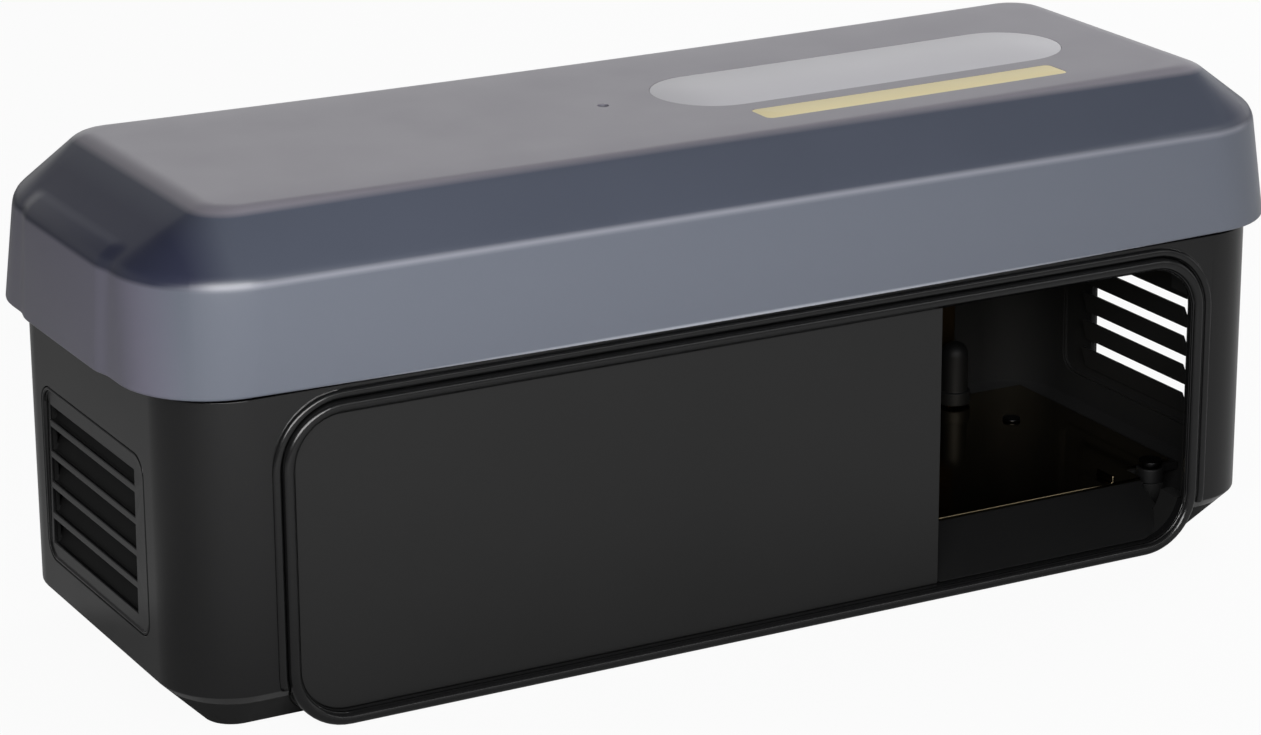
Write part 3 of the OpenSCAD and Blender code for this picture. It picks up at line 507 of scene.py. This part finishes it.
GRIP_OUT = 1 * MM  # finger grips' stand beyond the ends
LID_LOW, LID_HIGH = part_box("lid_shell")
LID_L = 2 * (LID_HIGH.x - GRIP_OUT)
LID_D = 2 * LID_HIGH.y
LID_Z = LID_LOW.z
LID_WALL = 1.8 * MM
SKIRT_H = 22 * MM
SLOPE_H = 11.1 * MM
SLOPE_END = 15.5 * MM
SLOPE_SIDE = 11 * MM
DRAFT_END = 1.3 * MM
DRAFT_SIDE = 1 * MM
LID_R = 18.7 * MM  # corner radius at the lower edge
CREASE_R = 22 * MM
TOP_R = 6 * MM
LID_BOW = 1.1 * MM  # rise of the ends above the middle
CREASE_Z = LID_Z + SKIRT_H
LID_TOP = CREASE_Z + SLOPE_H
CREASE_SOFT = 0.11  # shares of the skirt and the band that the crease's rounding takes
TOP_SOFT = 0.15  # share of the band that the top's rounding takes
TOP_FLAT = 2.5 * MM  # width of that rounding on the top
ROUNDING_STEPS = 6
LIP_R = 0.6 * MM
LIP_STEPS = 3
LIP_OVER = math.radians(60)  # the lower edge's corners turn more than this
STATION = 10 * MM  # spacing of the edges that take the bow

GRIP_W = 47 * MM
GRIP_OVER = 3.2 * MM  # its top above the crease
GRIP_EDGE = 6 * MM  # width of the slope down from a grip to the skirt
GRIP_BROW = 1.2 * MM  # height of the slope at its top
GRIP_REACH = 14 * MM  # from the lid's end: what a grip may move
GRIP_STEPS = 4

WINDOW_DEEP = 0.8 * MM
STRIP_DEEP = 0.4 * MM
STRIP_R = 1.5 * MM
LABEL_GAP = 0.04 * MM  # round a label in its recess
LABEL_SUNK = 0.04 * MM  # a label's face below the lid's top
LABEL_SEAT = 0.02 * MM  # between a label and its recess's floor
LABEL_EDGE = 0.1 * MM
LABEL_EDGE_STEPS = 2

FULL_R = 1  # rounds the ends fully, whatever the depth
# Labels in the lid's top: material slot, depth of the recess and largest corner radius
LABELS = {
    "lid_window": ("window_plastic", WINDOW_DEEP, FULL_R),
    "lid_strip": ("strip_plastic", STRIP_DEEP, STRIP_R),
}

# Blind hole in the middle of the lid's top
MARK_X = -11.5 * MM
MARK_R = 1.2 * MM
MARK_DEEP = 0.4 * MM
MARK_STEPS = 24


def between(a, b, share):
    """The values that lie this share of the way from a to b."""
    return tuple(p + share * (q - p) for p, q in zip(a, b))


def bend(a, corner, b, share):
    """A point of the rounding that leaves a towards the corner and arrives at b."""
    return between(between(a, corner, share), between(corner, b, share), share)


def lid_sections():
    """Length, depth, height and corner radius of the lid from its lower edge to its top."""
    edge = (LID_L, LID_D, 0, LID_R)
    crease = (LID_L - 2 * DRAFT_END, LID_D - 2 * DRAFT_SIDE, SKIRT_H, CREASE_R)
    brow = (crease[0] - 2 * SLOPE_END, crease[1] - 2 * SLOPE_SIDE, SKIRT_H + SLOPE_H, TOP_R)
    flat = (brow[0] - 2 * TOP_FLAT, brow[1] - 2 * TOP_FLAT, brow[2], TOP_R)
    shares = [step / ROUNDING_STEPS for step in range(ROUNDING_STEPS + 1)]
    below, above = between(crease, edge, CREASE_SOFT), between(crease, brow, CREASE_SOFT)
    band_end = between(brow, crease, TOP_SOFT)
    return [
        edge,
        *[bend(below, crease, above, share) for share in shares],
        *[bend(band_end, brow, flat, share) for share in shares],
    ]


def lid_skin():
    """The lid's outer skin, one face thick, with a level top."""
    bm = bmesh.new()
    rings = []
    for length, depth, z, radius in lid_sections():
        face = rounded_face(bm, length, depth, radius, (0, 0, LID_Z + z))
        rings.append(list(face.edges))
        if z < SKIRT_H + SLOPE_H:
            bmesh.ops.delete(bm, geom=[face], context="FACES_ONLY")
    for lower, upper in zip(rings, rings[1:]):
        bmesh.ops.bridge_loops(bm, edges=lower + upper)
    return bm


def raise_grips(bm):
    """Lifts the finger grips out of the skirt's two ends."""
    shares = [step / GRIP_STEPS for step in range(GRIP_STEPS + 1)]
    sides = [GRIP_W / 2 - GRIP_EDGE * share for share in shares]
    top = CREASE_Z + GRIP_OVER
    slice_at(bm, (0, 1, 0), [*sides, *[-side for side in sides]])
    slice_at(bm, (0, 0, 1), [top - GRIP_BROW * share for share in shares])
    for vert in bm.verts:
        if abs(vert.co.x) > LID_L / 2 - GRIP_REACH:
            across = smooth_step((GRIP_W / 2 - abs(vert.co.y)) / GRIP_EDGE)
            up = smooth_step((top - vert.co.z) / GRIP_BROW)
            vert.co.x += math.copysign(GRIP_OUT * across * up, vert.co.x)


def stations():
    """The places along the lid where cuts let its faces take the bow."""
    count = round(LID_L / STATION / 2)
    return [LID_L / 2 * step / count for step in range(1 - count, count)]


def bow(bm):
    """Raises the lid's ends above its middle."""
    for vert in bm.verts:
        vert.co.z += LID_BOW * (2 * vert.co.x / LID_L) ** 2


def lid_block(length, depth, radius, centre, height):
    """An upright block with rounded corners that can take the lid's bow."""
    bm = bmesh.new()
    face = rounded_face(bm, length, depth, radius, centre)
    up = bmesh.ops.extrude_face_region(bm, geom=[face])
    raised = [part for part in up["geom"] if isinstance(part, bmesh.types.BMVert)]
    bmesh.ops.translate(bm, verts=raised, vec=(0, 0, height))
    bmesh.ops.recalc_face_normals(bm, faces=bm.faces)
    return bm


def cut(target, bm):
    """Cuts a block out of a piece."""
    tool = loose_piece("cutter", bm)
    step = target.modifiers.new("cut", "BOOLEAN")
    step.object = tool
    step.operation = "DIFFERENCE"
    step.solver = "EXACT"
    shape = target.evaluated_get(bpy.context.evaluated_depsgraph_get())
    mesh = bpy.data.meshes.new_from_object(shape)
    target.modifiers.remove(step)
    target.data = mesh
    bpy.data.objects.remove(tool)


def label_plan(node, radius):
    """A label's length, depth, corner radius and middle; a full radius rounds its ends."""
    low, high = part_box(node)
    depth = high.y - low.y
    return high.x - low.x, depth, min(radius, depth / 2 - TINY), (low + high) / 2


def build_lid():
    """The lid: skirt, sloped band, top with its recesses, and finger grips."""
    bm = lid_skin()
    raise_grips(bm)
    bmesh.ops.recalc_face_normals(bm, faces=bm.faces)
    bmesh.ops.solidify(bm, geom=bm.faces[:], thickness=LID_WALL)
    lip = [
        edge
        for edge in bm.edges
        if max(v.co.z for v in edge.verts) < LID_Z + TINY
        and edge.calc_face_angle(0) > LIP_OVER
    ]
    bmesh.ops.bevel(
        bm,
        geom=lip,
        offset=LIP_R,
        segments=LIP_STEPS,
        affect="EDGES",
        profile=0.5,
        material=-1,
    )
    blank = loose_piece("lid_blank", bm)
    for node, (_, deep, most_r) in LABELS.items():
        length, depth, radius, middle = label_plan(node, most_r)
        centre = (middle.x, middle.y, LID_TOP - deep)
        size = (length + 2 * LABEL_GAP, depth + 2 * LABEL_GAP, radius)
        cut(blank, lid_block(*size, centre, LID_WALL))
    mark = bmesh.new()
    bmesh.ops.create_cone(
        mark,
        cap_ends=True,
        segments=MARK_STEPS,
        radius1=MARK_R,
        radius2=MARK_R,
        depth=2 * MARK_DEEP,
        matrix=Matrix.Translation((MARK_X, 0, LID_TOP)),
    )
    cut(blank, mark)
    bm = bmesh.new()
    bm.from_mesh(blank.data)
    bpy.data.objects.remove(blank)
    slice_at(bm, (1, 0, 0), stations())
    bow(bm)
    piece("lid", bm, "lid", "lid_plastic", "lid_shell")


def build_label(node, slot, deep, most_r):
    """A thin plate that lies in its recess in the lid's top."""
    length, depth, radius, middle = label_plan(node, most_r)
    centre = (middle.x, middle.y, LID_TOP - deep + LABEL_SEAT)
    bm = lid_block(length, depth, radius, centre, deep - LABEL_SUNK)
    face_z = centre[2] + deep - LABEL_SUNK
    top = [edge for edge in bm.edges if all(v.co.z > face_z - TINY for v in edge.verts)]
    bmesh.ops.bevel(
        bm,
        geom=top,
        offset=LABEL_EDGE,
        segments=LABEL_EDGE_STEPS,
        affect="EDGES",
        profile=0.5,
        material=-1,
    )
    slice_at(bm, (1, 0, 0), stations())
    bow(bm)
    piece(node + "_plate", bm, "lid", slot, node)


# ---------- battery springs ----------

SPRING_WIRE = 0.5 * MM  # radius
SPRING_TURNS = 4
SPRING_BASE_R = 5.5 * MM
SPRING_TIP_R = 3.5 * MM
SPRING_L = 5.4 * MM
SPRING_STEPS = 18  # facets of one turn
WIRE_STEPS = 8
CELLS = 4


def build_springs():
    """Tapered wire springs behind the cells, which lie in turns to the front and back."""
    low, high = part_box("contact_springs")
    pitch = (high.x - low.x - 2 * SPRING_BASE_R) / (CELLS - 1)
    middle_z = (low.z + high.z) / 2
    bm = bmesh.new()
    for i in range(CELLS):
        known = set(bm.verts)
        foot_y, way = (low.y, 1) if i % 2 == 0 else (high.y, -1)
        middle_x = low.x + SPRING_BASE_R + i * pitch
        centre = Vector((middle_x, foot_y + way * SPRING_WIRE, middle_z))
        ring = bmesh.ops.create_circle(
            bm,
            segments=WIRE_STEPS,
            radius=SPRING_WIRE,
            matrix=Matrix.Translation(centre + Vector((SPRING_BASE_R - SPRING_WIRE, 0, 0))),
            cap_ends=True,
        )
        steps = SPRING_STEPS * SPRING_TURNS
        rise = (SPRING_L - 2 * SPRING_WIRE) / steps
        bmesh.ops.spin(
            bm,
            geom=[*ring["verts"], *{e for v in ring["verts"] for e in v.link_edges}],
            cent=centre,
            axis=(0, 1, 0),
            dvec=(0, way * rise, 0),
            angle=math.tau * SPRING_TURNS,
            steps=steps,
        )
        for vert in set(bm.verts) - known:
            along = abs(vert.co.y - centre.y) / (SPRING_L - 2 * SPRING_WIRE)
            scale = 1 + along * (SPRING_TIP_R / SPRING_BASE_R - 1)
            vert.co.x = centre.x + (vert.co.x - centre.x) * scale
            vert.co.z = centre.z + (vert.co.z - centre.z) * scale
    bmesh.ops.recalc_face_normals(bm, faces=bm.faces)
    piece("contact_coils", bm, "trap", "contact_nickel", "contact_springs")


# ---------- carried-over solids ----------

WELD_WITHIN = 0.002 * MM
FLAT_WITHIN = math.radians(0.15)
EDGE_R = 0.25 * MM
EDGE_STEPS = 2
EDGES_OVER = math.radians(40)


def soften(solid):
    """Rounds a solid's edges by modifiers and shades it smooth.

    The grilles keep their triangles, because merged faces would close over their slots.
    """
    for polygon in solid.data.polygons:
        polygon.use_smooth = True
    weld = solid.modifiers.new("weld", "WELD")
    weld.merge_threshold = WELD_WITHIN
    if not solid.name.endswith("grille"):
        flat = solid.modifiers.new("flat", "DECIMATE")
        flat.decimate_type = "DISSOLVE"
        flat.angle_limit = FLAT_WITHIN
    edges = solid.modifiers.new("edges", "BEVEL")
    edges.width = EDGE_R
    edges.segments = EDGE_STEPS
    edges.limit_method = "ANGLE"
    edges.angle_limit = EDGES_OVER
    edges.use_clamp_overlap = False
    edges.harden_normals = True
    even = solid.modifiers.new("even", "WEIGHTED_NORMAL")
    even.keep_sharp = True


# ---------- studio ----------

VIEW_AZIMUTH = math.radians(28.493)
VIEW_ELEVATION = math.radians(18.254)
VIEW_ROLL = math.radians(0.305)
EYE = Vector((-391.9, -711.8, 312.8)) * MM
LENS = 117.79  # mm, as is the sensor
SENSOR = 36
NEAREST = 10 * MM


def make_camera():
    """Looks at the trap's front from its left and from a little above."""
    sa, ca = math.sin(VIEW_AZIMUTH), math.cos(VIEW_AZIMUTH)
    se, ce = math.sin(VIEW_ELEVATION), math.cos(VIEW_ELEVATION)
    forward = Vector((sa * ce, ca * ce, -se))
    level = Vector((ca, -sa, 0))
    down = forward.cross(level)
    right = math.cos(VIEW_ROLL) * level + math.sin(VIEW_ROLL) * down
    up = math.sin(VIEW_ROLL) * level - math.cos(VIEW_ROLL) * down
    data = bpy.data.cameras.new("camera")
    data.lens = LENS
    data.sensor_width = SENSOR
    data.clip_start = NEAREST
    made = bpy.data.objects.new("camera", data)
    turn = Matrix((right, up, -forward)).transposed().to_4x4()
    made.matrix_world = Matrix.Translation(EYE) @ turn
    scene.collection.objects.link(made)
    scene.camera = made


FLOOR_HALF = 4
PAPER = "#b8b8b8"
FLOOR_WHITE = 0.95  # share of the floor's white that the object's shadow leaves alone


def make_floor():
    """A pale floor that the camera sees as white, with a faint shadow under the object."""
    bm = bmesh.new()
    bmesh.ops.create_grid(bm, x_segments=1, y_segments=1, size=FLOOR_HALF)
    floor = loose_piece("floor", bm)
    material, tree = bare_material("paper_floor")
    paper = add(tree, "BsdfDiffuse", {"Color": linear(PAPER)})
    glow = add(tree, "Emission", {"Color": linear("#ffffff"), "Strength": 1.0})
    ray = add(tree, "LightPath")
    share = add(
        tree, "Math", {0: ray.outputs["Is Camera Ray"], 1: FLOOR_WHITE}, operation="MULTIPLY"
    )
    both = add(
        tree,
        "MixShader",
        {"Fac": share.outputs["Value"], 1: paper.outputs["BSDF"], 2: glow.outputs["Emission"]},
    )
    add(tree, "OutputMaterial", {"Surface": both.outputs["Shader"]})
    floor.data.materials.append(material)


WALL_TOP = (0.34, 0.46)  # sines of the elevations between which the bright walls end
WALL_SIDES = (-0.4, 0.4)  # from the front wall to the back wall, along Y
BACK_WALL = 0.9  # strengths, of which 1 is white
FRONT_WALL = 0.35
CEILING = 0.04
LEFT_FLAG = 0.28  # share of the light that a dark flag at the left leaves
FLAG_REACH = (-0.35, 0.25)  # from its full part to its faint edge, along X


def make_world():
    """White to the camera; to the trap, bright low walls, a dim ceiling and a dark left."""
    world = bpy.data.worlds.new("studio")
    scene.world = world
    world.use_nodes = True
    tree = world.node_tree
    tree.nodes.clear()
    way = add(tree, "SeparateXYZ", {"Vector": add(tree, "TexCoord").outputs["Generated"]})
    wall = add(
        tree,
        "MapRange",
        {
            "Value": way.outputs["Y"],
            "From Min": WALL_SIDES[0],
            "From Max": WALL_SIDES[1],
            "To Min": FRONT_WALL,
            "To Max": BACK_WALL,
        },
    )
    flag = add(
        tree,
        "MapRange",
        {
            "Value": way.outputs["X"],
            "From Min": FLAG_REACH[0],
            "From Max": FLAG_REACH[1],
            "To Min": LEFT_FLAG,
            "To Max": 1.0,
        },
    )
    lit = add(
        tree,
        "Math",
        {0: wall.outputs["Result"], 1: flag.outputs["Result"]},
        operation="MULTIPLY",
    )
    level = add(
        tree,
        "MapRange",
        {
            "Value": way.outputs["Z"],
            "From Min": WALL_TOP[0],
            "From Max": WALL_TOP[1],
            "To Min": lit.outputs["Value"],
            "To Max": CEILING,
        },
    )
    room = add(
        tree, "Background", {"Color": linear("#ffffff"), "Strength": level.outputs["Result"]}
    )
    white = add(tree, "Background", {"Color": linear("#ffffff"), "Strength": 1.0})
    ray = add(tree, "LightPath")
    both = add(
        tree,
        "MixShader",
        {
            "Fac": ray.outputs["Is Camera Ray"],
            1: room.outputs["Background"],
            2: white.outputs["Background"],
        },
    )
    add(tree, "OutputWorld", {"Surface": both.outputs["Shader"]})


# Lamps: direction from the object, distance, width and height of the face, and power
LAMPS = {
    "key": ((-0.36, -0.84, 0.38), 0.56, 0.45, 0.16, 2.4),
    "side": ((0.5, -0.75, 0.45), 0.7, 0.6, 0.08, 0.3),
    "back": ((0.7, 0.4, 0.59), 1.0, 0.5, 0.5, 6.5),
}
UNSEEN_IN_GLOSS = "back"  # its reflection would burn out the window and the far brow


def soft_lamp(name, towards, distance, width, height, power):
    """A lamp with a rectangular face that shines on the object's middle."""
    data = bpy.data.lights.new(name, "AREA")
    data.shape = "RECTANGLE"
    data.size, data.size_y = width, height
    data.energy = power
    made = bpy.data.objects.new(name, data)
    way = Vector(towards).normalized()
    made.location = (cad_box[0] + cad_box[1]) / 2 + way * distance
    made.rotation_euler = way.to_track_quat("Z", "Y").to_euler()
    made.visible_glossy = name != UNSEEN_IN_GLOSS
    scene.collection.objects.link(made)


# ---------- the trap ----------

looks = {slot: moulding(*finish) for slot, finish in MOULDINGS.items()}
looks.update({slot: metal(*finish) for slot, finish in METALS.items()})
looks["lid_plastic"] = smoky_polycarbonate_with_painted_light(LID_Z, CREASE_Z, LID_TOP, LID_L / 2)

build_lid()
for node, label in LABELS.items():
    build_label(node, *label)
build_springs()

finishes = {row["node"]: row["material_slot"] for row in frame["record"]["subparts"]}
for name, node in frame["nodes"].items():
    node.data.materials.clear()
    node.data.materials.append(looks[finishes[name]])
    soften(node)

make_camera()
make_floor()
make_world()
for name, lamp in LAMPS.items():
    soft_lamp(name, *lamp)
scene.view_settings.view_transform = "Standard"
